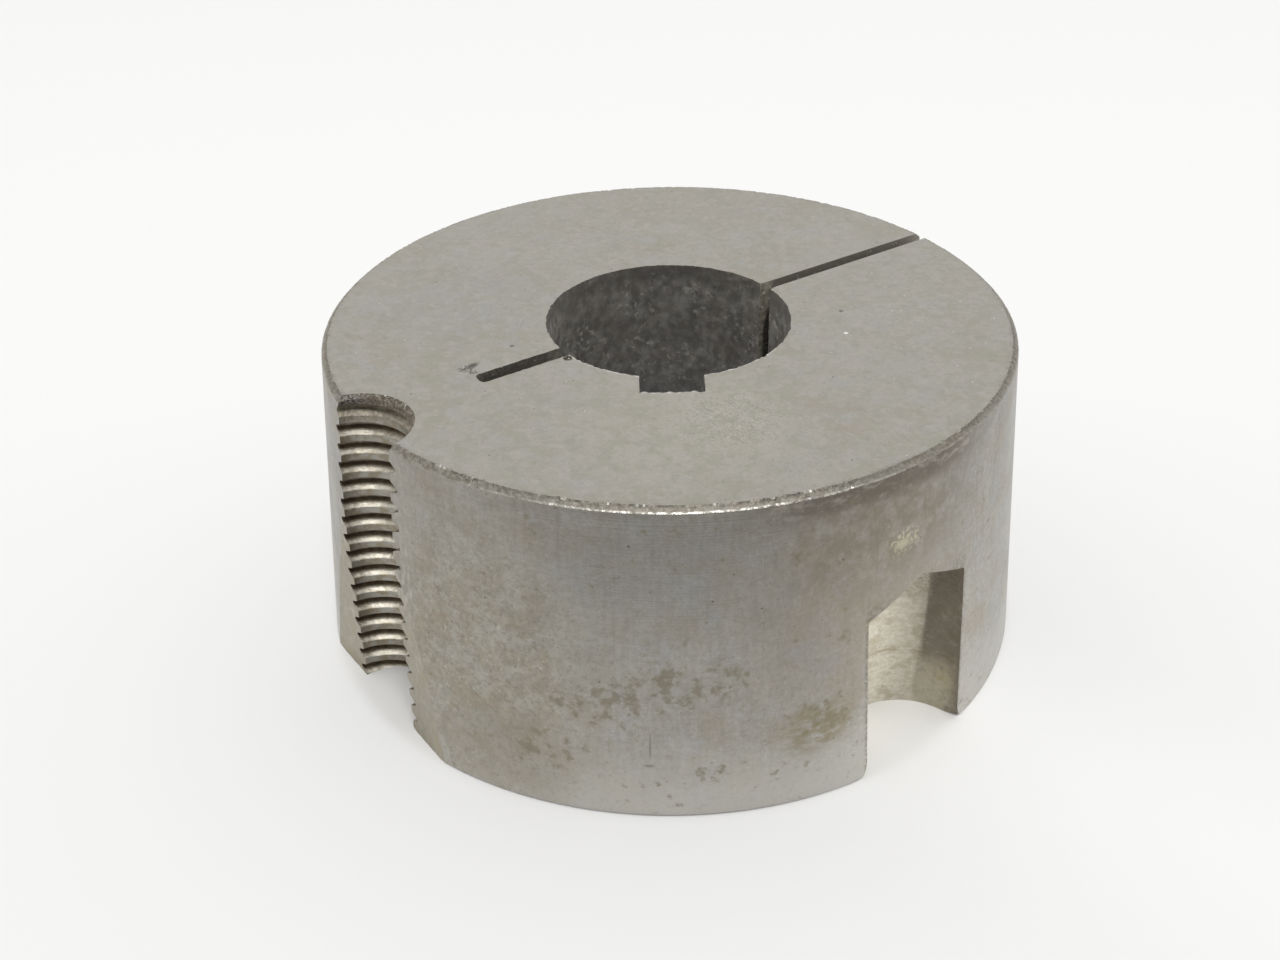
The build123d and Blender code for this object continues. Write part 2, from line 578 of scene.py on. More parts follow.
drill_cutters = []
blind_half_holes = ("screw_half_hole_a", "screw_half_hole_b")
for mount in blind_half_holes:
    pocket = finish["drilled_pocket"]
    cutter = drill_cutter(mount + "_cutter", axis_of(mount), drilled_profile(), drill_steps, pocket)
    drill_cutters.append(cutter)

# %% Tapping hole
tap_profile = [
    (tap_drill_radius, -over),
    (tap_drill_radius, length - thread_mouth_chamfer),
    (tap_drill_radius + thread_mouth_chamfer + over, length + over),
    (0, length + over),
]
tap_cutter = drill_cutter("tap_cutter", jack_axis, tap_profile, 144, finish["cut_thread"])

# %% Flat
bm = bmesh.new()
flat_distance = jack_axis.xy.length
flat_width = 2 * sqrt(large_end_radius**2 - flat_distance**2) + 2 * over
flat_cut = 4.0
bmesh.ops.create_cube(bm, size=1)
bmesh.ops.scale(bm, verts=bm.verts, vec=(flat_cut, flat_width, length + 2 * over))
move(bm, (flat_distance + flat_cut / 2, 0, length / 2))
cut_face = flat_distance + smallest_gap
cut_edges = [edge for edge in bm.edges if max(vert.co.x for vert in edge.verts) < cut_face]
bmesh.ops.subdivide_edges(bm, edges=cut_edges, cuts=69, use_grid_fill=True)
tear(bm, amount=0.04, grain=0.7)
bmesh.ops.rotate(bm, verts=bm.verts, matrix=Matrix.Rotation(jack_angle, 3, "Z"))
flat_cutter = new_object("flat_cutter", bm, finish["milled_flat"])

# %% Thread groove
crest_break = 0.04
steps_per_turn = 144
groove_turns = ceil(length / thread_pitch) + 2
flank_slope = tan(thread_angle / 2)
half_root = thread_root / 2
crest_radius = tap_drill_radius + crest_break
half_crest_gap = half_root + (thread_radius - crest_radius) * flank_slope
half_groove_mouth = half_crest_gap + 1.3 * crest_break
half_groove = [
    (thread_radius, half_root),
    (crest_radius, half_crest_gap),
    (tap_drill_radius - 0.02, half_groove_mouth),
    (tap_drill_radius - 0.3, half_groove_mouth),
]
groove_outline = half_groove + [(radius, -height) for radius, height in reversed(half_groove)]
bm = bmesh.new()
groove_points = []
for radius, height in groove_outline:
    groove_points.append((jack_axis.x + radius, jack_axis.y, height - thread_pitch))
screw = {"angle": groove_turns * tau, "rise": groove_turns * thread_pitch, "copies": groove_turns}
sweep(bm, section(bm, groove_points), (jack_axis.x, jack_axis.y, 0), steps=steps_per_turn, **screw)
close_up(bm)
tear(bm, amount=0.02, grain=0.3)
for vert in bm.verts:
    from_axis = vert.co.xy - jack_axis.xy
    depth = from_axis.length - tap_drill_radius
    faded = min(1, max(0, vert.co.z - groove_fade_start) / (length - groove_fade_start))
    if depth > 0:
        depth *= 1 - groove_fade * faded
        vert.co.xy = jack_axis.xy + from_axis.normalized() * (tap_drill_radius + depth)
groove_cutter = new_object("groove_cutter", bm, finish["cut_thread"])
print("groove cutter:", len(groove_cutter.data.polygons), "faces over", groove_turns, "turns")

# %% [markdown]
# ## Cutting
# Each cutter is taken away from the blank by a Boolean modifier. The blank and the cutters are all closed,
# so the manifold solver can be used: it is quick, keeps the result closed, and hands over each cutter's
# material. The result is read once through the dependency graph and kept as a plain mesh.

# %% Worn corners
# Where each blind half-hole meets the taper at the large end, the corner is worn round: its metal moves
# out of the half-hole's middle, towards the bore and up.
corner_reach = 1.7
corner_wear = 0.5
worn_corners = []
for mount in blind_half_holes:
    axis = axis_of(mount).xy.to_3d()
    across = large_end_radius**2 - axis.length**2 - drill_radius**2
    half_opening = acos(across / (2 * axis.length * drill_radius))
    for side in (-1, 1):
        direction = atan2(axis.y, axis.x) + side * half_opening
        corner = axis + outward(direction) * drill_radius
        inward = outward(direction) * 0.8 - corner.normalized() * 0.3 + Vector((0, 0, 0.5))
        worn_corners.append((corner, inward.normalized()))
print("worn corners:", len(worn_corners))

# %% Cut the blank
cutters = [bore_cutter, keyway_cutter, split_cutter, relief_cutter, pit_cutter]
cutters += [*drill_cutters, tap_cutter, flat_cutter, groove_cutter]
for cutter in cutters:
    cut = blank.modifiers.new(cutter.name, "BOOLEAN")
    cut.operation = "DIFFERENCE"
    cut.solver = "MANIFOLD"
    cut.material_mode = "TRANSFER"
    cut.object = cutter
bpy.context.view_layer.update()
depsgraph = bpy.context.evaluated_depsgraph_get()
cut_mesh = bpy.data.meshes.new_from_object(blank.evaluated_get(depsgraph), depsgraph=depsgraph)
blank.modifiers.clear()
for cutter in cutters:
    bpy.data.objects.remove(cutter)

sharp_angle = radians(28)
bm = bmesh.new()
bm.from_mesh(cut_mesh)
for corner, inward in worn_corners:
    for vert in bm.verts:
        wear = max(0, 1 - (vert.co - corner).length / corner_reach) ** 2
        vert.co += inward * corner_wear * wear
open_edges = [edge for edge in bm.edges if not edge.is_manifold]
print("cut mesh:", len(bm.faces), "faces,", len(open_edges), "open edges")
print("volume:", round(bm.calc_volume()), "cubic mm")
for face in bm.faces:
    face.smooth = True
for edge in bm.edges:
    sides = edge.link_faces
    same_finish = len({face.material_index for face in sides}) == 1
    edge.smooth = same_finish and edge.calc_face_angle(0) < sharp_angle
bmesh.ops.scale(bm, verts=bm.verts, vec=(MM, MM, MM))
bm.to_mesh(cut_mesh)
bm.free()
taper_bush = blank
taper_bush.data = cut_mesh
taper_bush.name = "taper_bush_visual"
cut_mesh.calc_loop_triangles()
print("triangles:", len(cut_mesh.loop_triangles), "materials:", [m.name for m in cut_mesh.materials])

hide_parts("taper_bush")
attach(taper_bush, "root")

# %% [markdown]
# ## Finishes
# Nothing here is painted: every finish is bare iron, so each one is a metal whose colour, roughness and
# small relief change from place to place. All patterns are measured in millimetres of the bush itself, so
# they stay on it from every side. A few helpers make the patterns: soft patches from noise, small spots
# from a random grid, lines from noise that is stretched, and marks that lie at one place only. A colour is
# then built as a painter glazes: a base, and one thin tone after another over it, each through its mask.

# %% Patterns in millimetres
finest_lump = 0.03     # in mm; anything finer can't be seen


def place(size=1.0, stretch=(1, 1, 1), shift=0.0, turn=(0, 0, 0)):
    """The bush's own coordinates, counted in sizes of so many millimetres, stretched along X, Y and Z."""
    where = add("TexCoord").outputs["Object"]
    if any(turn):
        where = add("Mapping", {"Vector": where, "Rotation": turn}).outputs["Vector"]
    counts = tuple(1 / (MM * size * factor) for factor in stretch)
    settings = {"Vector": where, "Scale": counts, "Location": (shift, shift, shift)}
    return add("Mapping", settings).outputs["Vector"]


def along(letter):
    """How far a point is along X, Y or Z in millimetres. Along Z is the height above the large end."""
    return add("SeparateXYZ", {"Vector": place()}).outputs[letter]


def cloud(size, detail=3.0, **where):
    """Noise from 0 to 1, in lumps about a size across, with no detail finer than can be seen."""
    detail = min(detail, log2(size / finest_lump))
    lumps = {"Vector": place(size, **where), "Scale": 1.0, "Detail": detail, "Roughness": 0.6}
    return add("TexNoise", lumps).outputs["Fac"]


def patches(size, start, end, detail=3.0, **where):
    """A mask of patches about a size across: 0 where the noise is under start, 1 where it is over end."""
    return ramp(cloud(size, detail, **where), start, end)


def patchy(mask, size, start, end, detail=3.0, **where):
    """A mask that is left only in patches."""
    return times(mask, patches(size, start, end, detail, **where))


def either(first, *others):
    """The stronger of several masks."""
    for other in others:
        first = math("MAXIMUM", first, other)
    return first


def dots(spacing, size, share, **where):
    """A mask of small spots of about a size, in a share of the cells of a random grid."""
    cells = add("TexVoronoi", {"Vector": place(spacing, **where), "Scale": 1.0})
    inside = ramp(cells.outputs["Distance"], size / 2 / spacing, size / 4 / spacing)
    pick = add("SeparateColor", {"Color": cells.outputs["Color"]}).outputs["Red"]
    return times(inside, math("LESS_THAN", pick, share))


def hairlines(size, width):
    """A mask of thin curved lines, where noise crosses its middle value, broken up by patches."""
    from_line = math("ABSOLUTE", math("SUBTRACT", cloud(size, 1.0), 0.5), 0.0)
    return patchy(ramp(from_line, width, 0.0), size, 0.5, 0.6, shift=55)


# %% Marks at one place
def distance(spot, counts, turn=(0, 0, 0)):
    """The distance from a spot, with so many counts to the metre along X, Y and Z."""
    where = add("TexCoord").outputs["Object"]
    away = add("VectorMath", {0: where, 1: spot * MM}, operation="SUBTRACT").outputs[0]
    if any(turn):
        away = add("Mapping", {"Vector": away, "Rotation": turn}).outputs["Vector"]
    away = add("VectorMath", {0: away, 1: counts}, operation="MULTIPLY").outputs[0]
    return add("VectorMath", {0: away}, operation="LENGTH").outputs["Value"]


def distance_from(axis):
    """The distance from an upright axis, in millimetres."""
    return distance(axis, (1 / MM, 1 / MM, 0))


def near(spot, reach, stretch=(1, 1, 1), turn=(0, 0, 0)):
    """A soft round mask about one spot: 1 in its middle, 0 beyond its reach in millimetres."""
    counts = tuple(1 / (MM * reach * factor) for factor in stretch)
    return ramp(distance(spot, counts, turn), 1.0, 0.3)


def on_taper(angle, height, reach, tall=1.0, **turn):
    """A soft mark on the taper, at an angle in degrees and a height, and a share as tall as it is wide."""
    spot = outward(radians(angle)) * taper_radius(height) + Vector((0, 0, height))
    return near(spot, reach, stretch=(1, 1, tall), **turn)


def on_face(x, y, reach, **shape):
    """A soft mark on the small end face."""
    return near(Vector((x, y, length)), reach, **shape)


# %% Shading
def iron(name):
    """Begins a finish of bare metal, and returns its tree, for the helpers to work on, and its shader."""
    tree = finish[name].node_tree
    shader = tree.nodes["Principled BSDF"]
    shader.inputs["Metallic"].default_value = 1.0
    return tree, shader


def shade(colour, roughness, reliefs):
    """Links a colour and a roughness to the shader, with reliefs given as (pattern, depth in mm)."""
    tree.links.new(colour, shader.inputs["Base Color"])
    if isinstance(roughness, bpy.types.NodeSocket):
        tree.links.new(roughness, shader.inputs["Roughness"])
    else:
        shader.inputs["Roughness"].default_value = roughness
    normal = None
    for pattern, depth in reliefs:
        bump = add("Bump", {"Height": pattern, "Distance": depth * MM, "Strength": 1.0})
        if normal:
            tree.links.new(normal, bump.inputs["Normal"])
        normal = bump.outputs["Normal"]
    tree.links.new(normal, shader.inputs["Normal"])


def glaze(colour, *layers):
    """Lays tones over a colour, one after another. Each layer is a mask, the tone's share, and the tone."""
    for mask, share, tone in layers:
        colour = blend(times(mask, share), colour, tone)
    return colour


def mottled(base, warm, cool, size, seed=0.0):
    """A base colour with soft warmer and cooler patches, as iron takes from handling and oil."""
    colour = blend(patches(size, 0.45, 0.68, detail=4, shift=seed), base, warm)
    return blend(patches(size * 0.7, 0.5, 0.72, detail=4, shift=seed + 20), colour, cool)


bore_axis = Vector((0, 0, 0))
dark_pore = (0.1, 0.095, 0.085)
# Bright flecks, and the painted glints on burrs, crumbs and the thread's mouth
bright_fleck_and_glint = (0.8, 0.8, 0.78)
print("helpers ready for", len(finish), "finishes")

# %% [markdown]
# ### End faces
# The face that shows most is ground: an even satin grey with fine grain, a few dark pores of the casting and
# a few bright flecks. It is a little brighter and scuffed in front of the keyway, with thin scratches here
# and there, and its outer edge has crumbs torn from the rim. The saw left a crumbled patch beyond the end
# of the relief slot. The large end face has the rings of the lathe tool instead.

# %% Ground small end face: grey, grain and scuffs
iron_grey = (0.405, 0.389, 0.352)
warm_grey = (0.378, 0.355, 0.303)
cool_grey = (0.392, 0.388, 0.366)
tree, shader = iron("small_end_face")
grain = cloud(0.14, detail=2)
from_middle = distance_from(bore_axis)
in_front = on_face(1, -16, 11)
brown_front = patchy(on_face(11.5, -16, 4.5), 1.5, 0.4, 0.6, detail=4, shift=5)
brown_back = on_face(6, 23, 13, stretch=(1.6, 0.55, 1))
cool_left = on_face(-17, 3, 9)
scuffed = on_face(4, -15.5, 6)
scuff = {"stretch": (1, 0.4, 1), "turn": (0, 0, 0.9)}
colour = glaze(
    mottled(iron_grey, warm_grey, cool_grey, 4),
    (in_front, 0.55, (0.455, 0.432, 0.375)),
    (brown_front, 0.6, (0.37, 0.33, 0.275)),
    (brown_back, 0.3, (0.36, 0.325, 0.28)),
    (cool_left, 0.4, (0.36, 0.358, 0.345)),
    (patches(1.3, 0.46, 0.62, shift=34), 0.65, (0.362, 0.356, 0.298)),
    (patches(0.8, 0.5, 0.64, shift=37), 0.5, (0.455, 0.428, 0.397)),
    (ramp(grain, 0.3, 0.75), 0.22, (0.24, 0.23, 0.205)),
    (patches(0.45, 0.5, 0.72, detail=5, shift=14), 0.26, (0.27, 0.255, 0.225)),
    (hairlines(2.2, 0.006), 0.3, (0.24, 0.23, 0.2)),
    (patchy(scuffed, 0.3, 0.52, 0.64, detail=4, **scuff), 0.6, (0.26, 0.25, 0.22)),
    (patchy(scuffed, 0.25, 0.55, 0.66, shift=9, **scuff), 0.55, (0.6, 0.58, 0.5)),
)

# %% Ground small end face: pores, crumbs and flecks
pores = either(dots(0.9, 0.22, 0.07), dots(0.5, 0.13, 0.07, shift=7))
pores = either(pores, on_face(13.55, 0.62, 0.28), on_face(-11.97, -4.26, 0.28))
crumbled = on_face(-14.75, -7.3, 0.8, stretch=(1, 0.55, 1), turn=(0, 0, -0.9))
crumbled = patchy(crumbled, 0.2, 0.3, 0.42, shift=3)
loose_crumbs = either(on_face(-15.2, -7.8, 0.8), on_face(-14.6, -8.2, 0.6))
slot_pits = either(crumbled, patchy(loose_crumbs, 0.16, 0.5, 0.57, shift=3))
at_rim = ramp(from_middle, chamfer_top[0] - 0.45, chamfer_top[0] - 0.1)
at_rim = patchy(patchy(at_rim, 2.5, 0.4, 0.6, shift=47), 0.25, 0.4, 0.6, shift=45)
flecks = either(dots(0.7, 0.12, 0.12, shift=31), on_face(13.5, -3.1, 0.26))
keyway_edge = on_face(0, -bore_radius - keyway_depth, 3.2, stretch=(1, 0.1, 1))
# Burrs along the bore and keyway edges at the front, coloured bright as painted glints on them
burr_glint = either(ramp(from_middle, bore_radius + 0.25, bore_radius + 0.1), keyway_edge)
burr_glint = patchy(times(burr_glint, ramp(along("Y"), -4, -7)), 0.35, 0.42, 0.6, shift=27)
colour = glaze(
    colour,
    (pores, 0.7, dark_pore),
    (slot_pits, 0.95, dark_pore),
    (at_rim, 0.55, (0.24, 0.225, 0.19)),
)
colour = blend(either(flecks, times(burr_glint, 0.5)), colour, bright_fleck_and_glint)
rough = ramp(cloud(5, shift=9), 0.3, 0.7, 0.43, 0.47)
shade(colour, rough, [(grain, 0.006), (math("SUBTRACT", 1.0, slot_pits), 0.05)])

# %% Turned large end face
tree, shader = iron("large_end_face")
rings = {"W": times(distance_from(bore_axis), 5.0), "Detail": 2.0, "Scale": 1.0}
tool_rings = add("TexNoise", rings, noise_dimensions="1D").outputs["Fac"]
colour = mottled(iron_grey, warm_grey, cool_grey, 6, seed=50)
colour = glaze(colour, (ramp(tool_rings, 0.35, 0.65), 0.25, (0.25, 0.24, 0.22)))
shade(colour, 0.42, [(tool_rings, 0.01), (cloud(0.15), 0.003)])

# %% [markdown]
# ### Broken rim
# The rim was broken by hand: its upper edge is torn and dark, and its middle is rough and brown. Its lower
# edge is burnished where it rubbed, and coloured pale as a painted highlight, brightest in front, where the
# lamp's highlight falls. A few bright crumbs cling to the upper edge, coloured as painted glints, more of
# them in front. The height within the chamfer chooses between the three.

# %% Rim
tree, shader = iron("broken_rim")
height = along("Z")
lumps = cloud(0.3, detail=5)
upper = patchy(ramp(height, length - 0.2, length - 0.1), 0.25, 0.36, 0.56, shift=5)
lower = patchy(ramp(height, small_rim[1] + 0.13, small_rim[1] + 0.05), 0.9, 0.36, 0.56, detail=5, shift=11)
# The lower edge is burnished, and coloured pale as a painted highlight, brightest in front where the lamp's
# highlight falls
front_highlight = on_taper(275, length, 17)
burnish_and_highlight = times(lower, ramp(front_highlight, 0, 0.7, 0.35, 1))
colour = glaze(
    blend(ramp(lumps, 0.36, 0.64), (0.225, 0.205, 0.17), (0.345, 0.322, 0.275)),
    (patches(2, 0.45, 0.6, shift=22), 0.35, (0.3, 0.29, 0.265)),
    (upper, 0.4, (0.15, 0.137, 0.112)),
    (burnish_and_highlight, 0.75, (0.54, 0.53, 0.49)),
)
# Bright crumbs on the upper edge, coloured as painted glints, more of them in front
glinting_crumbs = times(dots(0.22, 0.1, 0.12, shift=8), ramp(height, length - 0.12, length - 0.03))
glinting_crumbs = times(patchy(glinting_crumbs, 3, 0.42, 0.58, shift=49), ramp(front_highlight, 0, 0.7, 0.1, 0.6))
painted_glints = either(glinting_crumbs, times(dots(0.22, 0.1, 0.04), 0.5))
colour = blend(painted_glints, colour, (0.75, 0.74, 0.7))
shade(colour, ramp(burnish_and_highlight, 0, 1, 0.58, 0.36), [(lumps, 0.032), (cloud(0.12), 0.01)])

# %% [markdown]
# ### Taper
# The outside was ground, then handled and stored. It is an even grey with faint grinding lines round it. It
# is painted paler towards the large end, as a painted reflection of the bright floor, and darker high up in
# front, as a painted reflection of the dim room. Over that lie brown stains, olive spots where rust has just
# begun, and pale specks where it was rubbed off again. Under the rim at the right, one dark stain is partly
# a painted reflection of something dark. Patterns that are stretched along the surface and short in height
# follow the grinding.

# %% Ground taper: grey, lines and grain
tree, shader = iron("ground_taper")
height = along("Z")
right_side = ramp(along("X"), 15, 22)
grain = cloud(0.13, detail=2)
fine_mottle = cloud(0.45, detail=5, shift=60)
round_lines = cloud(1, stretch=(9, 9, 0.12))
long_streaks = cloud(1, stretch=(0.35, 0.35, 5))
colour = glaze(
    mottled((0.385, 0.369, 0.335), (0.362, 0.325, 0.268), (0.385, 0.379, 0.368), 3.6, seed=80),
    (ramp(round_lines, 0.4, 0.7), 0.14, (0.25, 0.24, 0.22)),
    (ramp(long_streaks, 0.5, 0.75), 0.22, (0.48, 0.47, 0.44)),
    (ramp(long_streaks, 0.5, 0.3), 0.3, (0.27, 0.255, 0.225)),
    (ramp(fine_mottle, 0.36, 0.66), 0.36, (0.255, 0.237, 0.198)),
    (ramp(grain, 0.4, 0.8), 0.35, (0.22, 0.21, 0.185)),
    # Painted reflection: the taper is coloured paler towards the large end, where it mirrors the bright
    # floor
    (ramp(height, 8, 0.5), 0.75, (0.48, 0.465, 0.43)),
    (patchy(right_side, 0.3, 0.54, 0.68, detail=4, shift=66), 0.2, (0.6, 0.58, 0.53)),
    (patchy(right_side, 0.9, 0.55, 0.68, detail=6), 0.25, (0.25, 0.235, 0.2)),
)

# %% Ground taper: stains under the rim, one of them partly a painted reflection
under_rim = ramp(height, length - 7, length - 1)
under_rim = patchy(under_rim, 1.8, 0.35, 0.65, detail=5, stretch=(2, 2, 0.7), shift=4)
brown_side = on_taper(301, 21, 12, 0.55)
# A dark band under the rim at the right: a stain, and a painted reflection of something dark in the room
stain_and_dark_reflection = times(on_taper(302, 24.5, 13), ramp(height, length - 2.6, length - 1.2))
stain_and_dark_reflection = patchy(stain_and_dark_reflection, 0.8, 0.32, 0.52, detail=6, stretch=(1.6, 1.6, 0.8), shift=35)
colour = glaze(
    colour,
    (under_rim, 0.24, (0.2, 0.182, 0.158)),
    (patchy(brown_side, 1.1, 0.34, 0.6, detail=7, shift=25), 0.66, (0.2, 0.173, 0.128)),
    (patchy(brown_side, 0.28, 0.54, 0.66, detail=4, shift=27), 0.25, (0.42, 0.39, 0.31)),
    (stain_and_dark_reflection, 0.85, (0.14, 0.12, 0.1)),
    (on_taper(299, 16, 14), 0.36, (0.24, 0.207, 0.163)),
)

# %% Ground taper: the rubbed side and a painted reflection at the front
rubbed = on_taper(238, 10, 13, 1.3)
rubbed_grey = glaze(
    blend(patches(2.2, 0.42, 0.58, detail=6, shift=2), (0.385, 0.367, 0.322), (0.325, 0.287, 0.22)),
    (patches(0.6, 0.44, 0.62, detail=7, shift=18), 0.6, (0.25, 0.226, 0.18)),
)
dark_grit = patches(0.32, 0.52, 0.68, shift=14)
pale_grit = patchy(patches(0.25, 0.54, 0.72, shift=13), 1.1, 0.42, 0.6, detail=4, shift=71)
pale_clouds = patchy(rubbed, 0.8, 0.5, 0.68, detail=5, shift=73)
# Painted reflection: the upper front is coloured darker, where it mirrors the dim room in front
dim_room_reflection = on_taper(268, 20, 11, 0.6)
brown_foot = on_taper(244, 4, 8, 0.7)
colour = glaze(
    colour,
    (rubbed, 0.7, rubbed_grey),
    (dark_grit, ramp(rubbed, 0, 1, 0.12, 0.5), (0.21, 0.192, 0.15)),
    (pale_grit, ramp(rubbed, 0, 1, 0.2, 0.6), (0.54, 0.52, 0.455)),
    (pale_clouds, 0.35, (0.47, 0.452, 0.39)),
    (dim_room_reflection, 0.25, (0.26, 0.252, 0.24)),
    (brown_foot, 0.4, (0.27, 0.24, 0.193)),
)

# %% Ground taper: olive spots, scratch and pores
spot_fields = on_taper(271.5, 11.5, 6, 0.5)
for angle, level, reach in ((258, 9.5, 5), (251, 5, 4), (275, 4, 1.7), (292, 7, 4), (294.5, 13.6, 1.8)):
    spot_fields = either(spot_fields, on_taper(angle, level, reach, 0.6))
lumps = math("ADD", cloud(0.85, detail=6, shift=6), times(spot_fields, 0.14))
olive_streaks = on_taper(290.5, 6.4, 4.2, 0.72, turn=(0, 0.25, 0))
olive_streaks = patchy(olive_streaks, 0.9, 0.36, 0.58, detail=7, stretch=(1.5, 1.5, 0.6), shift=44)
pores = either(dots(1.1, 0.24, 0.06, shift=3), dots(0.6, 0.15, 0.06, shift=17))
scratch = on_taper(265.8, 6.3, 0.13, 18)
scratch = either(scratch, on_taper(265.6, 4.6, 0.6, 0.3))
yellowed = patchy(on_taper(304.9, 19.5, 2.3, 0.6), 0.25, 0.5, 0.6, detail=5, shift=8)
yellowed = either(yellowed, times(on_taper(304.5, 19.3, 0.95, 0.6), 0.8))
drilled_edge = distance_from(axis_of("screw_half_hole_a"))
drilled_edge = times(ramp(drilled_edge, drill_radius + 0.35, drill_radius + 0.05), ramp(height, 16, 14))
colour = glaze(
    colour,
    (ramp(lumps, 0.57, 0.72), 0.5, (0.262, 0.236, 0.176)),
    (ramp(lumps, 0.63, 0.75), 0.5, (0.19, 0.168, 0.118)),
    (olive_streaks, 0.75, (0.232, 0.2, 0.125)),
    (pores, 0.7, dark_pore),
    (scratch, 0.55, (0.17, 0.158, 0.125)),
    (yellowed, 0.75, (0.53, 0.5, 0.36)),
    (patchy(drilled_edge, 0.4, 0.4, 0.55, shift=81), 0.6, (0.16, 0.145, 0.115)),
)

# %% Ground taper: burrs of the thread
tool_streaks = {"size": 0.35, "start": 0.5, "end": 0.62, "detail": 4, "stretch": (0.7, 0.7, 3.5)}
tool_streaks.update(turn=(0.35, 0, 0), shift=33)
burrs = ramp(distance_from(jack_axis), thread_radius + 2.0, thread_radius + 0.4)
burrs = times(burrs, ramp(height, 19, 12, 0.25, 1))
burr_colour = blend(patches(**tool_streaks), (0.3, 0.275, 0.235), (0.56, 0.545, 0.5))
colour = glaze(colour, (burrs, 0.6, burr_colour))
rough = ramp(cloud(3, shift=40), 0.3, 0.7, 0.35, 0.44)
shade(colour, rough, [(grain, 0.006), (round_lines, 0.01), (fine_mottle, 0.012)])

# %% [markdown]
# ### Bore, keyway and slots
# These walls are rougher and darker. The bore shows blotches from boring, and is painted darker further
# down as painted shade. The keyway shows the long lines of its broach, and the slots the crossed lines and
# bright burrs of a saw, coloured as painted glints. The slots are painted paler near the small end and
# where they open into the bore, as painted light falling in there, and darker deeper in, as painted shade.

# %% Bored wall
tree, shader = iron("bored_wall")
height = along("Z")
blotches = cloud(1, detail=4)
pale_spots = patchy(patches(0.5, 0.52, 0.68, shift=16), 3, 0.4, 0.56, shift=26)
colour = glaze(
    blend(ramp(blotches, 0.36, 0.68), (0.38, 0.367, 0.343), (0.68, 0.665, 0.63)),
    (patches(1.7, 0.44, 0.6, shift=33), 0.35, (0.46, 0.415, 0.385)),
    (pale_spots, 0.8, (0.95, 0.92, 0.87)),
    # Painted shade: the bore is coloured darker and bluer further down
    (ramp(height, 18, 10), 0.7, (0.3, 0.3, 0.32)),
    (ramp(height, length - 2.0, length - 0.6), 0.6, (0.27, 0.255, 0.23)),
    (dots(0.5, 0.14, 0.15), 0.8, (0.16, 0.155, 0.14)),
)
shade(colour, 0.58, [(blotches, 0.1), (cloud(0.2), 0.02)])

# %% Broached keyway
tree, shader = iron("broached_keyway")
broach_lines = cloud(0.12, detail=2, stretch=(1, 1, 60))
colour = blend(ramp(broach_lines, 0.35, 0.65), (0.26, 0.26, 0.265), (0.36, 0.357, 0.355))
shade(colour, 0.5, [(broach_lines, 0.01), (cloud(0.2), 0.01)])

# %% Sawn slots
tree, shader = iron("sawn_slot")
height = along("Z")
saw_lines = cloud(0.15, stretch=(6, 6, 1))
saw_dust = patchy(patches(0.22, 0.54, 0.66, shift=24), 1.5, 0.4, 0.6, shift=29)
# Painted light: the slots are coloured paler near the small end and where they open into the bore, where
# light falls in, and darker deeper in, as painted shade
pale_reach = ramp(height, length - 4.5, length - 1.0, 0.5, 1.5)
into_slot = math("SUBTRACT", distance_from(bore_axis), bore_radius)
painted_light_mouth = ramp(math("DIVIDE", into_slot, pale_reach), 1.0, 0.55)
on_split = ramp(along("X"), -1, 1, 0.3, 1)
painted_light_tone = blend(patches(0.4, 0.4, 0.62, detail=4, shift=38), (0.84, 0.8, 0.7), (0.5, 0.475, 0.41))
slot_end = outward(relief_angle) * (bore_radius + relief_depth) + Vector((0, 0, length))
colour = glaze(
    blend(ramp(saw_lines, 0.35, 0.65), (0.17, 0.16, 0.142), (0.28, 0.262, 0.232)),
    (saw_dust, 0.6, (0.52, 0.495, 0.44)),
    (near(pit_place, 0.9), 0.8, (0.09, 0.083, 0.07)),
    (ramp(height, length - 3.0, length - 0.5), times(on_split, 0.45), (0.62, 0.585, 0.52)),
    (painted_light_mouth, times(on_split, 0.75), painted_light_tone),
    (patchy(near(slot_end, 1.3), 0.2, 0.38, 0.56, shift=51), 0.85, (0.7, 0.66, 0.58)),
)
# Bright crumbs, coloured as painted glints
glinting_crumbs = either(dots(0.3, 0.13, 0.12, shift=19), dots(0.6, 0.26, 0.3, shift=23))
colour = blend(glinting_crumbs, colour, bright_fleck_and_glint)
shade(colour, 0.7, [(saw_lines, 0.005), (glinting_crumbs, 0.05)])

# %% [markdown]
# ### Half-holes
# The blind half-hole is the palest part: freshly drilled iron, with faint rings of the drill, brown stains
# and a dark band at one height. Its right side is painted darker above, as painted shade where the lamp's
# narrow beam does not reach, with a dark edge at the far right, and painted paler low down, as painted light
# from the floor, with a rusty yellow stain there. The thread is smooth and shines. Its flanks are painted
# paler as a painted highlight, and its roots darker as painted shade and old oil; it is browner and rougher
# near its mouth, with painted glints along its top edge. The flat beside it has the streaks of a mill, and
# is oily low down.

# %% Drilled pocket
tree, shader = iron("drilled_pocket")
shader.inputs["Metallic"].default_value = 0.3
height = along("Z")
to_right = along("X")
drill_rings = cloud(0.25, detail=4, stretch=(5, 5, 0.8))
band = times(ramp(height, 4.5, 5.0), ramp(height, 5.6, 5.1))
band = patchy(band, 0.8, 0.4, 0.56, detail=5, stretch=(2.5, 2.5, 0.6), shift=12)
pits = patchy(dots(0.5, 0.17, 0.16, shift=36), 2.5, 0.45, 0.55)
# Painted shade: the upper right, which the lamp's narrow beam leaves in shadow, is coloured darker, and so
# is the far right edge all the way down
painted_shade_and_dark_edge = either(times(ramp(to_right, 18.7, 19.0), ramp(height, 1.5, 6.0)), ramp(to_right, 20.2, 21.4))
